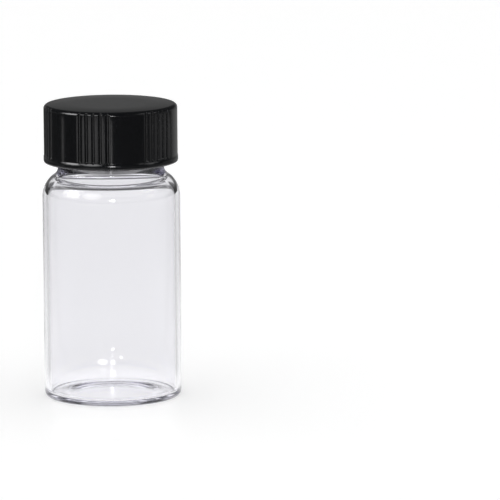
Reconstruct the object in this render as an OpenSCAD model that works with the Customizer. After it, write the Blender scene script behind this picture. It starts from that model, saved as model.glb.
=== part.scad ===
// Glass sample vial with a ribbed screw cap and a sealing liner.
// Millimetres, +Z up. The origin is the centre of the foot ring, on the surface that the vial stands on.
// The cap is drawn screwed down: its liner seats on the lip of the neck.

/* [Glass body] */
// Height of the glass from the foot to the lip
glass_h = 57; // [50:0.5:75]
// Outer diameter of the barrel
body_d = 27.5; // [26:0.1:31]
// Wall thickness of the barrel
wall_t = 1.1; // [0.8:0.05:1.6]
// Outer corner radius between the barrel and the foot
heel_r = 1; // [0.5:0.05:2]
// Width of the flat ring that the vial stands on
foot_w = 3.7; // [2:0.05:5]
// Rise of the hollow under the base
punt_h = 0.95; // [0.4:0.05:1.3]
// Thickness of the floor at its centre
floor_t = 0.7; // [0.6:0.05:1.5]
// Rise of the floor inside, from its edge to its centre
floor_rise = 0.6; // [0.1:0.05:0.8]
// Width of the level ring around that rise
floor_ring_w = 0.4; // [0.1:0.05:2]
// Inner corner radius between the wall and the floor
floor_corner_r = 0.8; // [0.4:0.05:3]

/* [Shoulder] */
// Outer radius of the rounded shoulder
shoulder_r = 5.2; // [4:0.1:7]
// Wall thickness at the top of the shoulder
shoulder_wall = 1.5; // [1:0.05:2]
// Outer radius where the shoulder turns up into the neck
neck_fillet_r = 1.85; // [0.8:0.05:3]
// Inner radius where the shoulder turns up into the bore
bore_fillet_r = 5; // [2:0.1:6]

/* [Neck finish] */
// Step in from the barrel's side to the crest of the thread
neck_inset = 1.95; // [1.2:0.05:3]
// Thickness of the neck behind its thread
neck_wall = 2.1; // [1.6:0.05:3]
// Length of the straight neck below the lip
neck_l = 10.6; // [9.5:0.05:13]
// Outer rounding of the lip
lip_outer_r = 0.7; // [0.3:0.05:1]
// Inner rounding of the lip
lip_inner_r = 0.8; // [0.3:0.05:1]

/* [Thread] */
// Climb of the thread in one turn
pitch = 3.175; // [2.9:0.005:4]
// Height of the neck's ridge
ridge_h = 1.2; // [0.8:0.05:1.4]
// Width of the neck's ridge at its foot
ridge_w = 2.1; // [1.6:0.05:2.3]
// Distance from the lip down to the neck's ridge
thread_start = 1.2; // [0.8:0.05:1.6]
// Turns of the neck's ridge
thread_turns = 1.25; // [1:0.05:1.5]
// Turns of the cap's ridge
cap_thread_turns = 1.25; // [1:0.05:1.5]
// Width of the cap's ridge at its crest
cap_crest_w = 0.5; // [0.3:0.05:0.7]
// Width of the cap's ridge at its foot
cap_foot_w = 1.3; // [1:0.05:1.5]
// Angle over which a ridge rises out of its wall
fade_angle = 45; // [30:5:90]
// Radial gap between the cap and the neck, at both crests
thread_gap = 0.3; // [0.25:0.05:0.5]

/* [Cap] */
// Height of the cap
cap_h = 11.75; // [10:0.05:12.5]
// Wall thickness of the skirt
cap_wall = 1.35; // [1.1:0.05:2]
// Thickness of the top plate
cap_top_t = 1.35; // [0.9:0.05:2]
// Rounding of the top edge
cap_edge_r = 0.8; // [0.4:0.05:1.2]
// Rounding of the lower edge
cap_rim_r = 0.45; // [0.2:0.05:0.6]
// Bevel inside the mouth
mouth_bevel = 0.4; // [0.2:0.05:0.6]
// Height of the plain band below the grooves
band_h = 1.35; // [0.8:0.05:2]
// How far the skirt narrows from the top edge to the band
skirt_draft = 0.08; // [0.02:0.01:0.15]

/* [Grip grooves] */
// Groups of grooves around the skirt
groove_groups = 6; // [3:1:6]
// Grooves in one group
grooves_per_group = 5; // [3:1:7]
// Angle from one groove to the next
groove_step = 6.2; // [5.5:0.1:8]
// Width of a groove
groove_w = 0.6; // [0.4:0.05:0.8]
// Depth of a groove
groove_depth = 0.35; // [0.2:0.05:0.45]
// Angle of the first group when the cap is screwed down
groove_turn = 16; // [0:1:60]

/* [Liner] */
// Thickness of the liner
liner_t = 0.85; // [0.5:0.05:1.5]
// Radial gap between the liner and the skirt
liner_gap = 0.2; // [0.1:0.05:0.4]

/* [Hidden] */
$fn = 128;

// Steps of a rounded corner in an outline, and of a ridge in one turn
arc_steps = 8;
turn_steps = 48;
// Steps around the neck's rounded ridge, and the depth that both ridges are rooted in their walls
ridge_steps = 7;
root_depth = 0.3;
// Share of a ridge's section that is left at its very end, inside the wall
end_share = 0.1;
// Length by which a cutter passes the face that it cuts
overcut = 1;

body_r = body_d / 2;
inner_r = body_r - wall_t;
thread_r = body_r - neck_inset;
neck_r = thread_r - ridge_h;
bore_r = neck_r - neck_wall;
foot_outer_r = body_r - heel_r;
foot_inner_r = foot_outer_r - foot_w;
punt_r = (foot_inner_r^2 + punt_h^2) / (2 * punt_h);
punt_half_angle = asin(foot_inner_r / punt_r);

// Inside, the floor is a shallow dome with a level ring and a rounded corner around it
floor_z = punt_h + floor_t;
corner_z = floor_z - floor_rise + floor_corner_r;
dome_edge_r = inner_r - floor_corner_r - floor_ring_w;
dome_r = (dome_edge_r^2 + floor_rise^2) / (2 * floor_rise);
dome_half_angle = asin(dome_edge_r / dome_r);

// The shoulder is two arcs that meet on one tangent: the outer pair takes body_r in to neck_r,
// and the inner pair, from the same height, takes inner_r in to bore_r.
inner_shoulder_r = shoulder_r - shoulder_wall;
shoulder_angle = acos(1 - (body_r - neck_r) / (shoulder_r + neck_fillet_r));
inner_angle = acos(1 - (inner_r - bore_r) / (inner_shoulder_r + bore_fillet_r));
neck_z = glass_h - neck_l;
shoulder_z = neck_z - (shoulder_r + neck_fillet_r) * sin(shoulder_angle);
bore_z = shoulder_z + (inner_shoulder_r + bore_fillet_r) * sin(inner_angle);

cap_bore_r = thread_r + thread_gap;
cap_r = cap_bore_r + cap_wall;
cap_under_z = glass_h + liner_t;
cap_top_z = cap_under_z + cap_top_t;
cap_rim_z = cap_top_z - cap_h;
band_z = cap_rim_z + band_h;
liner_r = cap_bore_r - liner_gap;
groove_r = (groove_w^2 / 4 + groove_depth^2) / (2 * groove_depth);
groove_z = band_z + groove_r;

// The neck's ridge ends thread_start under the lip. The cap's ridge starts just inside its mouth,
// turned so that it lies half a pitch under the neck's ridge, in the middle of the groove.
ridge_z = glass_h - thread_start - ridge_w / 2 - pitch * thread_turns;
cap_ridge_z = cap_rim_z + mouth_bevel + cap_foot_w / 2;
cap_ridge_turn = 360 * (cap_ridge_z - (ridge_z - pitch / 2)) / pitch;

// Points [radius, height] along an arc about centre c, from angle a to angle b
function arc(c, r, a, b) =
    [for (i = [0:arc_steps]) let (t = a + (b - a) * i / arc_steps) c + r * [cos(t), sin(t)]];

glass_outline = concat(
    arc([0, punt_h - punt_r], punt_r, 90, 90 - punt_half_angle),
    arc([foot_outer_r, heel_r], heel_r, -90, 0),
    arc([body_r - shoulder_r, shoulder_z], shoulder_r, 0, shoulder_angle),
    arc([neck_r + neck_fillet_r, neck_z], neck_fillet_r, 180 + shoulder_angle, 180),
    arc([neck_r - lip_outer_r, glass_h - lip_outer_r], lip_outer_r, 0, 90),
    arc([bore_r + lip_inner_r, glass_h - lip_inner_r], lip_inner_r, 90, 180),
    arc([bore_r + bore_fillet_r, bore_z], bore_fillet_r, 180, 180 + inner_angle),
    arc([inner_r - inner_shoulder_r, shoulder_z], inner_shoulder_r, inner_angle, 0),
    arc([inner_r - floor_corner_r, corner_z], floor_corner_r, 0, -90),
    arc([0, floor_z - dome_r], dome_r, 90 - dome_half_angle, 90));

cap_outline = concat(
    arc([cap_r - cap_rim_r, cap_rim_z + cap_rim_r], cap_rim_r, -90, 0),
    [[cap_r, band_z - skirt_draft], [cap_r - skirt_draft, band_z]],
    arc([cap_r - cap_edge_r, cap_top_z - cap_edge_r], cap_edge_r, 0, 90),
    [[0, cap_top_z], [0, cap_under_z], [cap_bore_r, cap_under_z]],
    [[cap_bore_r, cap_rim_z + mouth_bevel], [cap_bore_r + mouth_bevel, cap_rim_z]]);

// Section of the neck's ridge as [radius, height] points: half an ellipse on a root inside the neck,
// so wide that it is ridge_w across where it leaves the wall
ridge_rise = ridge_h + root_depth;
ridge_half = ridge_w / 2 / sqrt(1 - (root_depth / ridge_rise)^2);
neck_ridge = [for (i = [0:ridge_steps]) let (t = -90 + 180 * i / ridge_steps)
    [neck_r - root_depth + ridge_rise * cos(t), ridge_half * sin(t)]];

// Section of the cap's ridge: a trapezium that points inward from a root inside the skirt
cap_crest_r = neck_r + thread_gap;
cap_flank = (cap_foot_w - cap_crest_w) / 2 / (cap_bore_r - cap_crest_r);
cap_root_half = cap_foot_w / 2 + cap_flank * root_depth;
cap_ridge = [
    [cap_bore_r + root_depth, -cap_root_half],
    [cap_bore_r + root_depth, cap_root_half],
    [cap_crest_r, cap_crest_w / 2],
    [cap_crest_r, -cap_crest_w / 2]];

// Share of the full section at angle a of a ridge that is whole degrees long
function rise(a, whole) =
    end_share + (1 - end_share) * sin(90 * min(1, a / fade_angle, (whole - a) / fade_angle));

// A right-hand ridge. Its section climbs one pitch a turn from height z at angle from,
// and at both ends its radii draw back to the section's first point, inside the wall.
module helical_ridge(section, turns, from, z) {
    whole = 360 * turns;
    rings = round(turns * turn_steps);
    n = len(section);
    root = section[0][0];
    points = [for (i = [0:rings], p = section)
        let (a = whole * i / rings, r = root + (p[0] - root) * rise(a, whole))
        [r * cos(from + a), r * sin(from + a), z + pitch * a / 360 + p[1]]];
    sides = [for (i = [0:rings - 1], j = [0:n - 1])
        let (k = i * n, m = (j + 1) % n)
        each [[k + j, k + m, k + n + m], [k + j, k + n + m, k + n + j]]];
    start = [[for (j = [n - 1:-1:0]) j]];
    end = [[for (j = [0:n - 1]) rings * n + j]];
    polyhedron(points, concat(sides, start, end));
}

// Upright round-nosed cutters, in groups, that end above the plain band and run out at the top
module grip_grooves() {
    for (group = [0:groove_groups - 1], i = [0:grooves_per_group - 1])
        rotate(groove_turn + 360 * group / groove_groups
                + (i - (grooves_per_group - 1) / 2) * groove_step)
            translate([cap_r + groove_r - groove_depth, 0, groove_z]) {
                cylinder(r = groove_r, h = cap_h + overcut, $fn = 24);
                sphere(r = groove_r, $fn = 24);
            }
}

module glass_vial() {
    color("azure", 0.4) union() {
        rotate_extrude() polygon(glass_outline);
        helical_ridge(neck_ridge, thread_turns, 0, ridge_z);
    }
}

module screw_cap() {
    color([0.07, 0.07, 0.08]) union() {
        difference() {
            rotate_extrude() polygon(cap_outline);
            grip_grooves();
        }
        helical_ridge(cap_ridge, cap_thread_turns, cap_ridge_turn, cap_ridge_z);
    }
}

module cap_liner() {
    color("whitesmoke") translate([0, 0, glass_h]) cylinder(r = liner_r, h = liner_t);
}

glass_vial();
screw_cap();
cap_liner();
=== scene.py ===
"""Looks of a glass sample vial: a clear glass body, a black ribbed screw cap and a white liner.

Lengths are millimetres and angles are degrees. A mesh is stored in metres, and the scale of a
pattern is how often it repeats in a metre. Around is an angle from -Y, where the viewer stands,
toward +X.
"""

import bpy
import numpy as np
from mathutils import Matrix, Vector


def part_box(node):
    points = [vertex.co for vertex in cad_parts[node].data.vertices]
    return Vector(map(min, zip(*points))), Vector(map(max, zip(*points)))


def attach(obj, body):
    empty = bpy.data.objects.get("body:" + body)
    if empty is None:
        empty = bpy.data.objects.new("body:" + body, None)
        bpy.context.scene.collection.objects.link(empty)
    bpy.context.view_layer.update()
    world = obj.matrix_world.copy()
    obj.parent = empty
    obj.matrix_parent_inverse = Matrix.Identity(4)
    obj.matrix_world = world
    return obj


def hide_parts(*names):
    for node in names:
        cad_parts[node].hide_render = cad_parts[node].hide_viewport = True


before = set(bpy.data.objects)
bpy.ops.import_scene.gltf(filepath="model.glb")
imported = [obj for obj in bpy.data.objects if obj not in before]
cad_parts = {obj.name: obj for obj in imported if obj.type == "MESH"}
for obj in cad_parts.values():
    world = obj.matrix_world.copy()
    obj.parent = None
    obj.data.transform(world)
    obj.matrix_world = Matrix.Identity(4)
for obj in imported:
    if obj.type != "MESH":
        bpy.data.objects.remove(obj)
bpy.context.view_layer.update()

MM = 0.001


def extent(node):
    """Outer radius, lowest and highest height of a node of the frame, in millimetres."""
    low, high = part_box(node)
    return high.x / MM, low.z / MM, high.z / MM


# Heights and outer radii come from the frame.
BODY_R, _, GLASS_H = extent("glass_vial")
CAP_R, CAP_RIM_Z, CAP_TOP_Z = extent("screw_cap")
LINER_R, LINER_Z, LINER_TOP_Z = extent("cap_liner")

# Glass body, from the foot to the lip
WALL = 1.1
HEEL_R = 1.0
FOOT_W = 3.7
PUNT_H = 0.95
FLOOR_T = 0.7
FLOOR_RISE = 0.6
FLOOR_RING_W = 0.4
FLOOR_CORNER_R = 0.8
SHOULDER_R = 5.2
SHOULDER_WALL = 1.5
NECK_FILLET_R = 1.85
BORE_FILLET_R = 5.0
NECK_R = 10.6
BORE_R = 8.5
NECK_L = 10.6
LIP_OUTER_R = 0.7
LIP_INNER_R = 0.8

# Thread of the neck, thread of the cap, and what they share
PITCH = 3.175
THREAD_R = 11.8
RIDGE_W = 2.1
THREAD_START = 1.2
THREAD_TURNS = 1.25
THREAD_GAP = 0.3
CAP_CREST_W = 0.5
CAP_FOOT_W = 1.3
FADE = 45
END_SHARE = 0.1
ROOT = 0.3
RIDGE_Z = GLASS_H - THREAD_START - RIDGE_W / 2 - PITCH * THREAD_TURNS

# Cap and liner
CAP_BORE_R = THREAD_R + THREAD_GAP
CAP_EDGE_R = 0.8
CAP_EDGE_TURN = 88
CAP_RIM_R = 0.45
MOUTH_BEVEL = 0.4
BAND_H = 1.35
BAND_Z = CAP_RIM_Z + BAND_H
DRAFT = 0.08
SKIRT_R = CAP_R - DRAFT
GROUPS = 6
GROOVES = 5
GROOVE_STEP = 6.2
GROOVE_W = 0.6
GROOVE_DEPTH = 0.35
GROOVE_TURN = 16
RIB_DROP = 0.05
NOSE_L = 0.45
CROWN_R = 7.0
CROWN_DROP = 0.1
LINER_EDGE_R = 0.12

# Fineness of the meshes: rows by their spacing or number, and columns by their number.
# NOSE_ROWS_H is how far up from the band the rows are close, CROWN_GAP is the first step in from the
# cap's edge, and columns that are nearer than SAME_COLUMN degrees are one.
RIDGE_STEP = 0.08
BORE_STEP = 0.18
SKIRT_STEP = 1.5
NOSE_ROWS_H = 1.2
CROWN_ROWS = 18
CROWN_GAP = 0.3
GLASS_COLUMNS = 240
LINER_COLUMNS = 120
GROOVE_COLUMNS = 15
RIB_COLUMNS = 6
PAD_COLUMNS = 12
SAME_COLUMN = 0.01


# ---------------------------------------------------------------- shape tools

def arc(centre, radius, start, end, steps=12):
    """Points [radius, height] on a circle about centre, from the start angle to the end angle."""
    t = np.radians(np.linspace(start, end, steps + 1))
    return np.column_stack([centre[0] + radius * np.cos(t), centre[1] + radius * np.sin(t)])


def refine(points, step):
    """Cuts each stretch between two points into equal parts that are no longer than step."""
    lengths = np.hypot(*np.diff(points, axis=0).T)
    counts = np.maximum(1, np.ceil(lengths / step)).astype(int)
    stretch = np.repeat(np.arange(len(counts)), counts)
    part = np.arange(counts.sum()) - np.repeat(np.cumsum(counts) - counts, counts)
    share = (part / counts[stretch])[:, None]
    inner = points[stretch] * (1 - share) + points[stretch + 1] * share
    return np.vstack([inner, points[-1:]])


def lathe(name, outline, angles, radius_at=None):
    """A closed body turned about the Z axis.

    Row j of the outline at angle i stands at radius outline[j, 0] and height outline[j, 1].
    radius_at(angle, radius, height), where given, returns the radius instead, on whole grids.
    The outline starts and ends on the axis, where each end row shrinks to one pole point.
    """
    rows = outline[1:-1]
    angle, radius = np.meshgrid(angles, rows[:, 0], indexing="ij")
    height = np.broadcast_to(rows[:, 1], radius.shape)
    if radius_at is not None:
        radius = radius_at(angle, radius, height)
    turn = np.radians(angle)
    ring = np.stack([radius * np.cos(turn), radius * np.sin(turn), height], axis=-1)
    poles = [[0, 0, outline[0, 1]], [0, 0, outline[-1, 1]]]
    points = np.vstack([ring.reshape(-1, 3), poles]) * MM

    columns, count = ring.shape[:2]
    i, j = np.meshgrid(np.arange(columns), np.arange(count - 1), indexing="ij")
    near, far = i * count + j, (i + 1) % columns * count + j
    quads = np.stack([near, far, far + 1, near + 1], axis=-1).reshape(-1, 4)
    here = np.arange(columns) * count
    there = np.roll(here, -1)
    first, last = np.full(columns, columns * count), np.full(columns, columns * count + 1)
    fans = np.vstack([
        np.stack([first, there, here], axis=-1),
        np.stack([last, here + count - 1, there + count - 1], axis=-1)])

    mesh = bpy.data.meshes.new(name)
    mesh.from_pydata(points, [], quads.tolist() + fans.tolist())
    mesh.shade_smooth()
    piece = bpy.data.objects.new(name, mesh)
    bpy.context.scene.collection.objects.link(piece)
    return piece


def share_of_ridge(angle, whole):
    """Share of a ridge's full height at an angle along it, of whole degrees in all.

    It rises from END_SHARE to 1 as a sine over FADE at each end, and is 0 where there is no ridge.
    """
    climb = np.sin(np.pi / 2 * np.clip(np.minimum(angle, whole - angle) / FADE, 0, 1))
    return np.where((angle >= 0) & (angle <= whole), END_SHARE + (1 - END_SHARE) * climb, 0)


# ---------------------------------------------------------------- glass body

def glass_outline():
    """The glass in section, from the middle of the punt out, up, over the lip and down to the floor.

    Every curve is an arc. The shoulder is one pair of arcs outside and one pair inside, which meet
    each other, the barrel and the neck on one tangent, as the heel and the lip do. The punt and the
    floor are shallow domes, and each meets the flat ring around it at an edge.
    """
    inner_r = BODY_R - WALL
    foot_outer_r = BODY_R - HEEL_R
    foot_inner_r = foot_outer_r - FOOT_W
    punt_r = (foot_inner_r**2 + PUNT_H**2) / (2 * PUNT_H)
    punt_half_angle = np.degrees(np.arcsin(foot_inner_r / punt_r))
    floor_z = PUNT_H + FLOOR_T
    corner_z = floor_z - FLOOR_RISE + FLOOR_CORNER_R
    dome_edge_r = inner_r - FLOOR_CORNER_R - FLOOR_RING_W
    dome_r = (dome_edge_r**2 + FLOOR_RISE**2) / (2 * FLOOR_RISE)
    dome_half_angle = np.degrees(np.arcsin(dome_edge_r / dome_r))
    inner_shoulder_r = SHOULDER_R - SHOULDER_WALL
    outer_angle = np.degrees(np.arccos(1 - (BODY_R - NECK_R) / (SHOULDER_R + NECK_FILLET_R)))
    inner_angle = np.degrees(np.arccos(1 - (inner_r - BORE_R) / (inner_shoulder_r + BORE_FILLET_R)))
    neck_z = GLASS_H - NECK_L
    shoulder_z = neck_z - (SHOULDER_R + NECK_FILLET_R) * np.sin(np.radians(outer_angle))
    bore_z = shoulder_z + (inner_shoulder_r + BORE_FILLET_R) * np.sin(np.radians(inner_angle))
    neck_top_z = GLASS_H - LIP_OUTER_R
    neck = refine(np.array([[NECK_R, neck_z], [NECK_R, neck_top_z]]), RIDGE_STEP)
    return np.vstack([
        arc([0, PUNT_H - punt_r], punt_r, 90, 90 - punt_half_angle, 24),
        arc([foot_outer_r, HEEL_R], HEEL_R, -90, 0, 20),
        arc([BODY_R - SHOULDER_R, shoulder_z], SHOULDER_R, 0, outer_angle, 28),
        arc([NECK_R + NECK_FILLET_R, neck_z], NECK_FILLET_R, 180 + outer_angle, 180, 14)[:-1],
        neck,
        arc([NECK_R - LIP_OUTER_R, neck_top_z], LIP_OUTER_R, 0, 90, 10)[1:],
        arc([BORE_R + LIP_INNER_R, GLASS_H - LIP_INNER_R], LIP_INNER_R, 90, 180, 10),
        arc([BORE_R + BORE_FILLET_R, bore_z], BORE_FILLET_R, 180, 180 + inner_angle, 16)[:-1],
        arc([inner_r - inner_shoulder_r, shoulder_z], inner_shoulder_r, inner_angle, 0, 24),
        arc([inner_r - FLOOR_CORNER_R, corner_z], FLOOR_CORNER_R, 0, -90, 16),
        arc([0, floor_z - dome_r], dome_r, 90 - dome_half_angle, 90, 24)])


def threaded_radius(angle, radius, height):
    """Adds the neck's ridge: half an ellipse in section that climbs one pitch in each turn."""
    rise = THREAD_R - NECK_R + ROOT
    half = RIDGE_W / 2 / np.sqrt(1 - (ROOT / rise)**2)
    outer = np.isclose(radius, NECK_R)
    for lap in range(2):
        along = angle + 360 * lap
        offset = (height - RIDGE_Z - PITCH * along / 360) / half
        crest = share_of_ridge(along, 360 * THREAD_TURNS) * np.sqrt(np.clip(1 - offset**2, 0, 1))
        radius = np.where(outer, np.maximum(radius, NECK_R - ROOT + rise * crest), radius)
    return radius


def glass_body():
    """The glass outline turned about Z, with the thread raised on its neck."""
    angles = np.arange(GLASS_COLUMNS) * 360 / GLASS_COLUMNS
    return lathe("vial_glass", glass_outline(), angles, threaded_radius)


# ---------------------------------------------------------------- screw cap

def groove_angles():
    """Middle angle of every grip groove."""
    group = 360 / GROUPS * np.arange(GROUPS)
    place = (np.arange(GROOVES) - (GROOVES - 1) / 2) * GROOVE_STEP
    return (GROOVE_TURN + np.add.outer(group, place)).ravel()


def cap_angles():
    """Columns around the cap: close together across each groove and wide apart on the plain pads.

    Across a groove they are spaced as a sine, closest at its edges.
    """
    half = np.degrees(GROOVE_W / 2 / CAP_R)
    groove = np.sin(np.radians(np.linspace(-90, 90, GROOVE_COLUMNS))) * half
    rib = np.linspace(half, GROOVE_STEP / 2, RIB_COLUMNS)[1:]
    near = np.concatenate([-rib[::-1], groove, rib])
    in_grooves = np.add.outer(groove_angles(), near).ravel()
    pad_start = groove_angles()[GROOVES - 1::GROOVES] + GROOVE_STEP / 2
    pad = 360 / GROUPS - GROOVES * GROOVE_STEP
    on_pads = np.add.outer(pad_start, np.linspace(0, pad, PAD_COLUMNS)).ravel()
    angles = np.sort(np.concatenate([in_grooves, on_pads]) % 360)
    return angles[np.diff(angles, append=angles[0] + 360) > SAME_COLUMN]


def cap_outline():
    """The cap in section, from the middle under the top plate, down the bore, round and over the top.

    The top is level out to CROWN_R, and then falls as the square of the way to its edge.
    """
    wall_top_z = CAP_TOP_Z - CAP_EDGE_R
    bore_low_z = CAP_RIM_Z + MOUTH_BEVEL
    bore = refine(np.array([[CAP_BORE_R, LINER_TOP_Z], [CAP_BORE_R, bore_low_z]]), BORE_STEP)
    skirt = refine(np.array([[SKIRT_R, BAND_Z], [SKIRT_R, wall_top_z]]), SKIRT_STEP)
    noses = refine(np.array([[SKIRT_R, BAND_Z], [SKIRT_R, BAND_Z + NOSE_ROWS_H]]), RIDGE_STEP)
    edge_middle = [SKIRT_R - CAP_EDGE_R, wall_top_z - CROWN_DROP]
    edge = arc(edge_middle, CAP_EDGE_R, 0, CAP_EDGE_TURN, 14)
    crown_r = np.linspace(edge[-1, 0] - CROWN_GAP, 0, CROWN_ROWS)
    fall = np.clip((crown_r - CROWN_R) / (edge[-1, 0] - CROWN_R), 0, 1)**2
    crown = np.column_stack([crown_r, CAP_TOP_Z - CROWN_DROP * fall])
    return np.vstack([
        [[0, LINER_TOP_Z]],
        bore,
        [[CAP_BORE_R + MOUTH_BEVEL, CAP_RIM_Z]],
        arc([CAP_R - CAP_RIM_R, CAP_RIM_Z + CAP_RIM_R], CAP_RIM_R, -90, 0, 8),
        [[CAP_R, BAND_Z - DRAFT]],
        noses,
        skirt[skirt[:, 1] > noses[-1, 1]][:-1],
        edge,
        crown])


def grooved_radius(angle, radius, height):
    """Cuts the grip grooves outside and raises the thread inside.

    A groove is half an ellipse in section, and its lower end is rounded in the same way.
    The ribs between fall RIB_DROP to the grooves' edges, as the square of the way there.
    The thread is a trapezium in section that climbs one pitch in each turn, half a pitch under the
    neck's thread.
    """
    off = (angle[..., None] - groove_angles() + 180) % 360 - 180
    off = np.radians(np.abs(off).min(axis=-1)) * CAP_R
    half, rib_half = GROOVE_W / 2, np.radians(GROOVE_STEP / 2) * CAP_R
    below = np.clip((BAND_Z + NOSE_L - height) / NOSE_L, 0, 1)
    bowl = np.sqrt(np.clip(1 - (off / half)**2 - below**2, 0, None))
    slope = np.clip((rib_half - off) / (rib_half - half), 0, 1)**2
    depth = RIB_DROP * slope * (1 - below**2) + (GROOVE_DEPTH - RIB_DROP) * bowl
    outside = (radius > SKIRT_R - CAP_EDGE_R) & (height > BAND_Z - DRAFT / 2)
    radius = np.where(outside, np.minimum(radius, SKIRT_R - depth), radius)

    crest_r = NECK_R + THREAD_GAP
    low_z = CAP_RIM_Z + MOUTH_BEVEL + CAP_FOOT_W / 2
    turn = 360 * (low_z - (RIDGE_Z - PITCH / 2)) / PITCH
    flank = (CAP_FOOT_W - CAP_CREST_W) / 2 / (CAP_BORE_R - crest_r)
    inside = np.isclose(radius, CAP_BORE_R)
    for lap in range(2):
        along = (angle - turn) % 360 + 360 * lap
        offset = np.abs(height - low_z - PITCH * along / 360)
        ridge_h = np.clip((CAP_FOOT_W / 2 - offset) / flank, 0, CAP_BORE_R - crest_r)
        ridge_r = CAP_BORE_R - ridge_h * share_of_ridge(along, 360 * THREAD_TURNS)
        radius = np.where(inside, np.minimum(radius, ridge_r), radius)
    return radius


def cap_body():
    """The cap outline turned about Z, with the grooves cut and the thread raised."""
    return lathe("ribbed_cap", cap_outline(), cap_angles(), grooved_radius)


def liner_body():
    """A disc with rounded edges."""
    edge = LINER_EDGE_R
    outline = np.vstack([
        [[0, LINER_Z]],
        arc([LINER_R - edge, LINER_Z + edge], edge, -90, 0, 4),
        arc([LINER_R - edge, LINER_TOP_Z - edge], edge, 0, 90, 4),
        [[0, LINER_TOP_Z]]])
    return lathe("foam_liner", outline, np.arange(LINER_COLUMNS) * 360 / LINER_COLUMNS)


# ---------------------------------------------------------------- node tools

WHITE = (1, 1, 1, 1)
BLACK = (0, 0, 0, 1)


def feed(tree, socket, value):
    """Gives a socket a fixed value, or links another socket to it."""
    if isinstance(value, bpy.types.NodeSocket):
        tree.links.new(value, socket)
    else:
        socket.default_value = value


def feed_by_name(tree, node, values):
    """Feeds the inputs of a node that are named, with _ for each space in a name."""
    for name, value in values.items():
        feed(tree, node.inputs[name.replace("_", " ")], value)


def add_node(tree, kind, *in_order, **by_name):
    """A new shader node of a kind, with its inputs fed in order, by name or both."""
    node = tree.nodes.new("ShaderNode" + kind)
    for socket, value in zip(node.inputs, in_order):
        feed(tree, socket, value)
    feed_by_name(tree, node, by_name)
    return node


def new_material(name, **values):
    """A material with its tree and its Principled shader, whose inputs take the values."""
    material = bpy.data.materials.new(name)
    material.use_nodes = True
    tree = material.node_tree
    shader = tree.nodes["Principled BSDF"]
    feed_by_name(tree, shader, values)
    return material, tree, shader


def combine(tree, operation, one, other=0):
    """The result of an operation on two values, each a number or a socket."""
    node = add_node(tree, "Math", one, other)
    node.operation = operation
    return node.outputs["Value"]


def ramp(tree, value, from_min, from_max, to_min, to_max):
    """A smooth step from to_min to to_max, as value goes from from_min to from_max."""
    step = add_node(tree, "MapRange", value, from_min, from_max, to_min, to_max)
    step.interpolation_type = "SMOOTHSTEP"
    return step.outputs["Result"]


def blend_values(tree, factor, low, high):
    """low where factor is 0 and high where it is 1, each a number or a socket."""
    return add_node(tree, "Mix", Factor=factor, A=low, B=high).outputs["Result"]


def ray_mask(tree, kind):
    """1 for a ray of the kind that is named, and 0 for the rest."""
    return add_node(tree, "LightPath").outputs[kind]


# ---------------------------------------------------------------- materials

# Clear glass: the share that passes its surface, and what a metre of its depth takes off
GLASS_TINT = (0.976, 0.975, 0.9916, 1)
GLASS_DEPTH = (0.2, 0.15, 0.72, 1)
GLASS_DENSITY = 6
GLASS_IOR = 1.5
WAVE_SCALE = 90
WAVE_H = 1.0
WAVE_SHARE = 0.02

# Black phenolic: its colour, and the range of its roughness
PHENOLIC_COLOUR = (0.0055, 0.006, 0.0072, 1)
PHENOLIC_IOR = 1.5
GRAIN_SCALE = 900
GRAIN_SMOOTH = 0.1
GRAIN_ROUGH = 0.18

# White foam: closed cells of about a quarter of a millimetre
FOAM_COLOUR = (0.86, 0.86, 0.84, 1)
FOAM_ROUGH = 0.7
CELL_SCALE = 4000
CELL_H = 0.1
CELL_SHARE = 0.3


def clear_glass():
    """Clear glass with slow waves in its surface, whose tint deepens with its thickness."""
    material, tree, shader = new_material(
        "clear_glass", Base_Color=GLASS_TINT, Transmission_Weight=1, IOR=GLASS_IOR, Roughness=0)
    depth = add_node(tree, "VolumeAbsorption", Color=GLASS_DEPTH, Density=GLASS_DENSITY)
    feed(tree, tree.nodes["Material Output"].inputs["Volume"], depth.outputs["Volume"])
    place = add_node(tree, "TexCoord").outputs["Object"]
    waves = add_node(tree, "TexNoise", Vector=place, Scale=WAVE_SCALE, Detail=1)
    bump = add_node(
        tree, "Bump", Height=waves.outputs["Fac"], Strength=WAVE_SHARE, Distance=WAVE_H * MM)
    feed(tree, shader.inputs["Normal"], bump.outputs["Normal"])
    return material


def black_phenolic():
    """Glossy black moulding, whose roughness varies in a fine grain."""
    material, tree, shader = new_material(
        "black_phenolic", Base_Color=PHENOLIC_COLOUR, IOR=PHENOLIC_IOR)
    place = add_node(tree, "TexCoord").outputs["Object"]
    grain = add_node(tree, "TexNoise", Vector=place, Scale=GRAIN_SCALE)
    rough = add_node(
        tree, "MapRange", Value=grain.outputs["Fac"], To_Min=GRAIN_SMOOTH, To_Max=GRAIN_ROUGH)
    feed(tree, shader.inputs["Roughness"], rough.outputs["Result"])
    return material


def white_foam():
    """Matt white foam with small closed cells."""
    material, tree, shader = new_material(
        "white_foam", Base_Color=FOAM_COLOUR, Roughness=FOAM_ROUGH)
    place = add_node(tree, "TexCoord").outputs["Object"]
    cells = add_node(tree, "TexVoronoi", Vector=place, Scale=CELL_SCALE)
    bump = add_node(
        tree, "Bump", Height=cells.outputs["Distance"], Strength=CELL_SHARE, Distance=CELL_H * MM)
    feed(tree, shader.inputs["Normal"], bump.outputs["Normal"])
    return material


# ---------------------------------------------------------------- studio

# How often a ray may turn inside the glass
BOUNCES = 48

# Camera
CAMERA_AWAY = 1200.0
CAMERA_RISE = 9.609
CAMERA_ROLL = -0.389
CAMERA_AIM = (27.688, 0.0, 29.245)
FRAME_PX = 500
FOCAL_PX = 5986.28
SENSOR = 36.0

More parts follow.
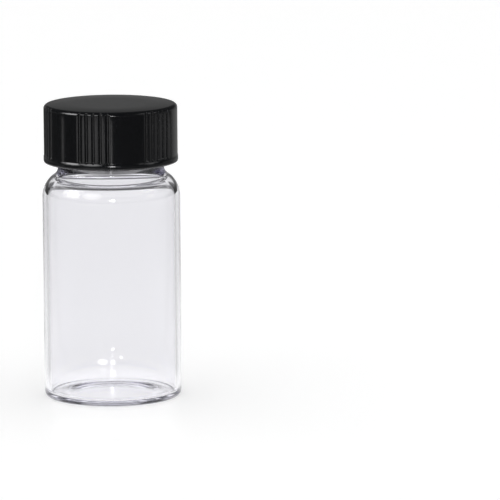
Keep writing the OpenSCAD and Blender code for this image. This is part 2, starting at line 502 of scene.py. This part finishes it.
# Sky, by the height of a direction, which is the sine of its elevation. A glow of 1 is white.
WORLD_DIM = 0.15
GLOSS_LOW = 0.05
GLOSS_HIGH = 0.27
GLOSS_EDGE = 0.22
GLOSS_TOP = 0.05
SKY_LOW = 0.0
SKY_HIGH = 0.02
SKY_DARK = 0.03
# A painted grey dusk in the glass's sky
SKY_DUSK = 0.1
DUSK_NEAR = 0.01
DUSK_FAR = 0.06
SKY_UP = 0.12
SKY_FULL = 0.24
SKY_GLOW = 1.0
SKY_END = 0.4
SKY_END_SOFT = 0.05
SKY_CEILING = 0.5
# Painted shade: two black flags in the glass's sky, which stand nowhere in the studio
PAINTED_FLAG_NEAR = 0.25
PAINTED_FLAG_NEAR_SOFT = 0.15
PAINTED_FLAG_FAR = 0.75
PAINTED_FLAG_FAR_SOFT = 0.2
PAINTED_FLAG_TOP = 0.34
PAINTED_FLAG_TOP_SOFT = 0.04

# Floor, just under the foot
FLOOR_R = 3000
FLOOR_Z = -0.02
FLOOR_COLOUR = (0.9, 0.9, 0.9, 1)
FLOOR_GLOW = 0.43
FLOOR_SHEEN = 0.12
SHEEN_ROUGH = 0.08

# Floor as the glass sees it: painted light under the foot and painted shade in two wedges
GLASS_GLOW = 0.3
FOOT_LIGHT = 0.6
FOOT_LIGHT_R = 14
FOOT_DARK_R = 38
SIDE_NEAR = 0.55
SIDE_NEAR_SOFT = 0.1
SIDE_FAR = 1.0
SIDE_FAR_SOFT = 0.3
SIDE_DARK = 0.2

# Floor as gloss sees it: a painted reflection, dark away from the vial and lighter behind it
GLOSS_FLOOR_LIGHT_R = 20
GLOSS_FLOOR_DARK_R = 260
GLOSS_FLOOR_DIM = 0.06
REAR_LOW = 0.5
REAR_HIGH = 0.75
REAR_SPREAD = 0.3
REAR_GLOW_LEFT = 0.1
REAR_GLOW_RIGHT = 0.3

# Glowing patches over the table, no lamps, that gloss alone sees and that paint highlights
GLINT_NEAR = 285
SPOT_Z = 2
SPOT_POINTS = 32
SPOT_WAVE = 0.2
SPOT_GLOW = 8.0

# Painted windows: cards that glow, though no lamps, for gloss alone, and the painted shade of leaves
# in front of two of them
WINDOW_AWAY = 1200
LEAF_SHARE = 0.15
LEAF_SCALE = 4.0
LEAF_DETAIL = 2
LEAF_LOW = 0.46
LEAF_HIGH = 0.56

# Height on the vial's axis that the lamps face
LAMP_AIM_Z = 30


def studio_camera():
    """A long lens at CAMERA_RISE above the table, looking level with +Y."""
    rise, roll = np.radians(CAMERA_RISE), np.radians(CAMERA_ROLL)
    forward = Vector((0, np.cos(rise), -np.sin(rise)))
    right = Vector((1, 0, 0))
    up = Vector((0, np.sin(rise), np.cos(rise)))
    across = right * np.cos(roll) + up * np.sin(roll)
    upward = up * np.cos(roll) - right * np.sin(roll)
    data = bpy.data.cameras.new("studio_camera")
    data.sensor_width = SENSOR
    data.lens = SENSOR * FOCAL_PX / FRAME_PX
    camera = bpy.data.objects.new("studio_camera", data)
    turn = Matrix((across, upward, -forward)).transposed().to_4x4()
    place = Vector(CAMERA_AIM) - forward * CAMERA_AWAY
    camera.matrix_world = Matrix.Translation(place * MM) @ turn
    bpy.context.scene.collection.objects.link(camera)
    bpy.context.scene.camera = camera


def sky_through_glass(tree, x, y, high):
    """What the glass sees of the sky.

    A sky painted for the glass alone, which paints light and shade into it. White below the
    horizon, and near black above it but for a little painted dusk where x is small. From SKY_UP it
    turns white, and from SKY_END it is a dimmer ceiling. Two black flags are painted into it behind
    the glass to the sides, where the size of x over y is between PAINTED_FLAG_NEAR and
    PAINTED_FLAG_FAR, up to
    PAINTED_FLAG_TOP; they stand nowhere in the studio and paint dark marks into the glass.
    """
    ground = ramp(tree, high, SKY_LOW, SKY_HIGH, 1, SKY_DARK)
    square = combine(tree, "MULTIPLY", x, x)
    dusk = ramp(tree, square, DUSK_NEAR, DUSK_FAR, SKY_DUSK, 0)
    lit = ramp(tree, high, SKY_UP, SKY_FULL, 0, SKY_GLOW)
    ceiling = ramp(tree, high, SKY_END, SKY_END + SKY_END_SOFT, 1, SKY_CEILING)
    low = combine(tree, "MAXIMUM", ground, dusk)
    sky = combine(tree, "MAXIMUM", low, combine(tree, "MULTIPLY", lit, ceiling))
    aside = combine(tree, "DIVIDE", combine(tree, "ABSOLUTE", x), y)
    near = ramp(tree, aside, PAINTED_FLAG_NEAR, PAINTED_FLAG_NEAR + PAINTED_FLAG_NEAR_SOFT, 0, 1)
    far = ramp(tree, aside, PAINTED_FLAG_FAR, PAINTED_FLAG_FAR + PAINTED_FLAG_FAR_SOFT, 1, 0)
    top = ramp(tree, high, PAINTED_FLAG_TOP, PAINTED_FLAG_TOP + PAINTED_FLAG_TOP_SOFT, 1, 0)
    # Painted shade of the two flags, which stand nowhere in the studio
    painted_flags = combine(tree, "MULTIPLY", combine(tree, "MULTIPLY", near, far), top)
    return combine(tree, "MULTIPLY", sky, combine(tree, "SUBTRACT", 1, painted_flags))


def studio_world():
    """White for the camera and dim for the rest.

    Gloss sees a sky that is grey at the horizon and dark above, and glass sees one of its own, painted
    with light and shade.
    """
    world = bpy.data.worlds.new("studio_world")
    world.use_nodes = True
    tree = world.node_tree
    way = add_node(tree, "TexCoord").outputs["Generated"]
    x, y, high = add_node(tree, "SeparateXYZ", way).outputs
    gloss_sky = ramp(tree, high, GLOSS_LOW, GLOSS_HIGH, GLOSS_EDGE, GLOSS_TOP)
    glass_sky = sky_through_glass(tree, x, y, high)
    strength = blend_values(tree, ray_mask(tree, "Is Glossy Ray"), WORLD_DIM, gloss_sky)
    strength = blend_values(tree, ray_mask(tree, "Is Transmission Ray"), strength, glass_sky)
    strength = blend_values(tree, ray_mask(tree, "Is Camera Ray"), strength, 1)
    feed_by_name(tree, tree.nodes["Background"], {"Color": WHITE, "Strength": strength})
    bpy.context.scene.world = world


def stage_mesh(name, points, faces, material):
    """A flat piece of the studio, from points in millimetres."""
    mesh = bpy.data.meshes.new(name)
    mesh.from_pydata([Vector(p) * MM for p in points], [], faces)
    mesh.materials.append(material)
    piece = bpy.data.objects.new(name, mesh)
    bpy.context.scene.collection.objects.link(piece)
    return piece


def floor_through_glass(tree, x, y, away):
    """The floor's extra light as the glass sees it: FOOT_LIGHT under the foot, GLASS_GLOW beyond it.

    The light and shade are painted into the floor, and no lamp gives them. In two wedges behind the
    vial it falls to SIDE_DARK of that, a painted shade which draws the wall's inner edges. There,
    how far the size of x is past the inner wall, over y, is between SIDE_NEAR and SIDE_FAR. That is
    so close in front of the vial too, where the painted light under the foot all but hides it.
    """
    past_wall = combine(tree, "SUBTRACT", combine(tree, "ABSOLUTE", x), (BODY_R - WALL) * MM)
    beside = combine(tree, "DIVIDE", past_wall, y)
    dark = ramp(tree, beside, SIDE_NEAR, SIDE_NEAR + SIDE_NEAR_SOFT, 1, SIDE_DARK)
    light = ramp(tree, beside, SIDE_FAR, SIDE_FAR + SIDE_FAR_SOFT, 0, 1)
    beyond = combine(tree, "MULTIPLY", combine(tree, "MAXIMUM", dark, light), GLASS_GLOW)
    apart = ramp(tree, away, FOOT_LIGHT_R * MM, FOOT_DARK_R * MM, 0, 1)
    return blend_values(tree, apart, FOOT_LIGHT, beyond)


def floor_for_gloss(tree, x, y, away):
    """The floor as gloss sees it, which keeps the cap's side black.

    It is a painted reflection, which gloss sees in place of the lit floor. It darkens away from the
    vial, and grows light again behind it, where y over the distance is past REAR_LOW, and more so to
    the right, by x over the distance.
    """
    front = ramp(tree, away, GLOSS_FLOOR_LIGHT_R * MM, GLOSS_FLOOR_DARK_R * MM, 1, GLOSS_FLOOR_DIM)
    back = combine(tree, "DIVIDE", y, away)
    across = combine(tree, "DIVIDE", x, away)
    glow = ramp(tree, across, -REAR_SPREAD, REAR_SPREAD, REAR_GLOW_LEFT, REAR_GLOW_RIGHT)
    rear = combine(tree, "MULTIPLY", glow, ramp(tree, back, REAR_LOW, REAR_HIGH, 0, 1))
    return combine(tree, "MAXIMUM", front, rear)


def studio_floor():
    """A pale, faintly polished floor that takes shadows. The camera and the glass see it nearly white.

    A ray inside the glass counts as glossy too, so gloss alone is what isn't transmission.
    """
    material, tree, shader = new_material(
        "studio_floor", Base_Color=FLOOR_COLOUR, Roughness=1, Specular_IOR_Level=0,
        Emission_Color=WHITE)
    place = add_node(tree, "TexCoord").outputs["Object"]
    x, y, _ = add_node(tree, "SeparateXYZ", place).outputs
    length = add_node(tree, "VectorMath", place)
    length.operation = "LENGTH"
    away = length.outputs["Value"]
    # What the glass sees of the floor is painted light and shade
    glass = ray_mask(tree, "Is Transmission Ray")
    glow = blend_values(tree, glass, 0, floor_through_glass(tree, x, y, away))
    glow = blend_values(tree, ray_mask(tree, "Is Camera Ray"), glow, FLOOR_GLOW)
    feed(tree, shader.inputs["Emission Strength"], glow)
    sheen = add_node(tree, "BsdfGlossy", Roughness=SHEEN_ROUGH)
    polished = add_node(
        tree, "MixShader", FLOOR_SHEEN, shader.outputs["BSDF"], sheen.outputs["BSDF"])
    # Painted reflection: gloss sees this glow in place of the lit floor
    painted_gloss_floor = add_node(tree, "Emission", Strength=floor_for_gloss(tree, x, y, away))
    gloss = combine(tree, "SUBTRACT", ray_mask(tree, "Is Glossy Ray"), glass)
    table = add_node(
        tree, "MixShader", gloss, polished.outputs["Shader"], painted_gloss_floor.outputs["Emission"])
    feed(tree, tree.nodes["Material Output"].inputs["Surface"], table.outputs["Shader"])
    r, z = FLOOR_R, FLOOR_Z
    corners = [(-r, -r, z), (r, -r, z), (r, r, z), (-r, r, z)]
    stage_mesh("studio_floor", corners, [(0, 1, 2, 3)], material)


def gloss_only(piece):
    """Hides a stage piece from every ray but those that gloss sends out."""
    for kind in ("camera", "diffuse", "transmission", "shadow", "volume_scatter"):
        setattr(piece, "visible_" + kind, False)


def glow_material(name, **values):
    """A black material whose front alone shines white, and whose shader takes the values."""
    material, tree, shader = new_material(
        name, Base_Color=BLACK, Roughness=1, Specular_IOR_Level=0, **values)
    side = add_node(tree, "NewGeometry")
    front = combine(tree, "SUBTRACT", 1, side.outputs["Backfacing"])
    feed(tree, shader.inputs["Emission Color"], front)
    return material, tree, shader


def directions(around):
    """Unit vectors away from the axis at an angle around it, and across that to the right."""
    turn = np.radians(around)
    return np.array([np.sin(turn), -np.cos(turn), 0]), np.array([np.cos(turn), np.sin(turn), 0])


def painted_glint(name, around, far, width, height, glow):
    """A bright patch that the polished table shows to gloss alone.

    The patch is no part of the table but a card that glows, though it is no lamp, and paints a
    highlight on the vial. It lies flat at a height over the table, from GLINT_NEAR to far from the
    axis.
    """
    material, _, _ = glow_material(name, Emission_Strength=glow)
    way, side = directions(around)
    near, far, side = way * GLINT_NEAR, way * far, side * width / 2
    corners = np.array([near - side, near + side, far + side, far - side]) + [0, 0, height]
    gloss_only(stage_mesh(name, corners.tolist(), [(3, 2, 1, 0)], material))


def painted_spot(name, around, away, length, width, glow):
    """A bright blob of the polished table that gloss alone sees, its middle away from the vial's axis.

    It is no part of the table but a card that glows, though it is no lamp, and paints a highlight on
    the glass. Its edge is an ellipse that swells by SPOT_WAVE times the cosine of twice its angle and
    its place.
    """
    material, _, _ = glow_material(name, Emission_Strength=glow)
    way, side = directions(around)
    angle = np.radians(np.arange(SPOT_POINTS) * 360 / SPOT_POINTS)[:, None]
    swell = 1 + SPOT_WAVE * np.cos(2 * angle + away)
    along = away + np.cos(angle) * swell * length / 2
    edge = way * along + side * np.sin(angle) * swell * width / 2 + [0, 0, SPOT_Z]
    gloss_only(stage_mesh(name, edge.tolist(), [tuple(range(SPOT_POINTS))], material))


def painted_window(name, around, up, radius, glow, leaves=1):
    """A round soft-edged window that only gloss sees, WINDOW_AWAY from the axis and up above the table.

    It is a card that glows, though it is no lamp, and paints reflections on the vial. It fades from
    half its radius out. Where painted leaves hang in front of it, it keeps the given share of its
    glow.
    """
    material, tree, shader = glow_material(name)
    way, side = directions(around)
    rise = np.array([0, 0, 1])
    middle = way * WINDOW_AWAY + rise * up
    place = add_node(tree, "TexCoord").outputs["Object"]
    noise = add_node(tree, "TexNoise", Vector=place, Scale=LEAF_SCALE, Detail=LEAF_DETAIL)
    away = add_node(tree, "VectorMath", place, middle * MM)
    away.operation = "DISTANCE"
    leafy = ramp(tree, noise.outputs["Fac"], LEAF_LOW, LEAF_HIGH, glow * leaves, glow)
    soft = ramp(tree, away.outputs["Value"], radius / 2 * MM, radius * MM, 1, 0)
    feed(tree, shader.inputs["Emission Strength"], combine(tree, "MULTIPLY", leafy, soft))
    side, rise = side * radius, rise * radius
    corners = middle + np.array([-side - rise, side - rise, side + rise, rise - side])
    gloss_only(stage_mesh(name, corners.tolist(), [(0, 3, 2, 1)], material))


def softbox(name, around, above, away, size, glow):
    """A rectangular lamp that faces the vial, which neither the camera nor gloss sees.

    above is its elevation, and glow its brightness, where white paper in the studio is 1.
    """
    data = bpy.data.lights.new(name, "AREA")
    data.shape = "RECTANGLE"
    data.size, data.size_y = size[0] * MM, size[1] * MM
    data.energy = glow * np.pi * data.size * data.size_y
    lamp = bpy.data.objects.new(name, data)
    turn, rise = np.radians(around), np.radians(above)
    way = Vector((np.sin(turn) * np.cos(rise), -np.cos(turn) * np.cos(rise), np.sin(rise)))
    lamp.location = (Vector((0, 0, LAMP_AIM_Z)) + way * away) * MM
    lamp.rotation_euler = way.to_track_quat("Z", "Y").to_euler()
    lamp.visible_camera = False
    lamp.visible_glossy = False
    bpy.context.scene.collection.objects.link(lamp)


scene = bpy.context.scene
scene.view_settings.view_transform = "Standard"
scene.cycles.max_bounces = BOUNCES
scene.cycles.transmission_bounces = BOUNCES
scene.cycles.glossy_bounces = BOUNCES
studio_camera()
studio_world()
studio_floor()

# Painted highlights on the cap's side, from glowing patches: on the front ribs, on both edges and at
# the end of a plain pad
painted_glint("rib_glint", around=-29, far=450, width=285, height=2, glow=1.3)
painted_glint("left_glint", around=-88, far=450, width=26, height=2, glow=1.0)
painted_glint("right_glint", around=95, far=450, width=350, height=2, glow=0.45)
painted_glint("pad_glint", around=1, far=390, width=20, height=2.5, glow=4.0)

# Painted highlights: bright points low on the barrel, from glowing blobs
painted_spot("far_spot", around=1.4, away=60.5, length=5, width=5, glow=SPOT_GLOW)
painted_spot("left_spot", around=-13.8, away=47, length=7.5, width=10, glow=SPOT_GLOW)
painted_spot("middle_spot", around=1.2, away=47, length=7, width=5, glow=SPOT_GLOW)
painted_spot("right_spot", around=13.4, away=51.6, length=4, width=5, glow=SPOT_GLOW)
painted_spot("faint_spot", around=-13.2, away=39, length=3, width=6.3, glow=SPOT_GLOW / 2)
painted_spot("near_spot", around=1.3, away=35, length=7, width=3.2, glow=SPOT_GLOW)

# Painted reflections on the glass shoulder and on the cap's edges, from glowing cards
painted_window("left_window", around=-74, up=850, radius=650, glow=8, leaves=LEAF_SHARE)
painted_window("right_window", around=74, up=850, radius=650, glow=2, leaves=LEAF_SHARE)
painted_window("front_window", around=-35, up=800, radius=500, glow=4)
# The key lamp is hidden from gloss, so this card paints its highlight, far brighter than the lamp
painted_window("key_window", around=3.4, up=383, radius=130, glow=25)

softbox("overhead", around=0, above=90, away=2400, size=(5200, 5200), glow=1.05)
softbox("key", around=3.4, above=17.7, away=1200, size=(150, 260), glow=8.0)


# ---------------------------------------------------------------- the vial

glass = glass_body()
glass.data.materials.append(clear_glass())
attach(glass, "vial")
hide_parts("glass_vial")

cap = cap_body()
cap.data.materials.append(black_phenolic())
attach(cap, "cap")
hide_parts("screw_cap")

liner = liner_body()
liner.data.materials.append(white_foam())
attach(liner, "liner")
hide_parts("cap_liner")
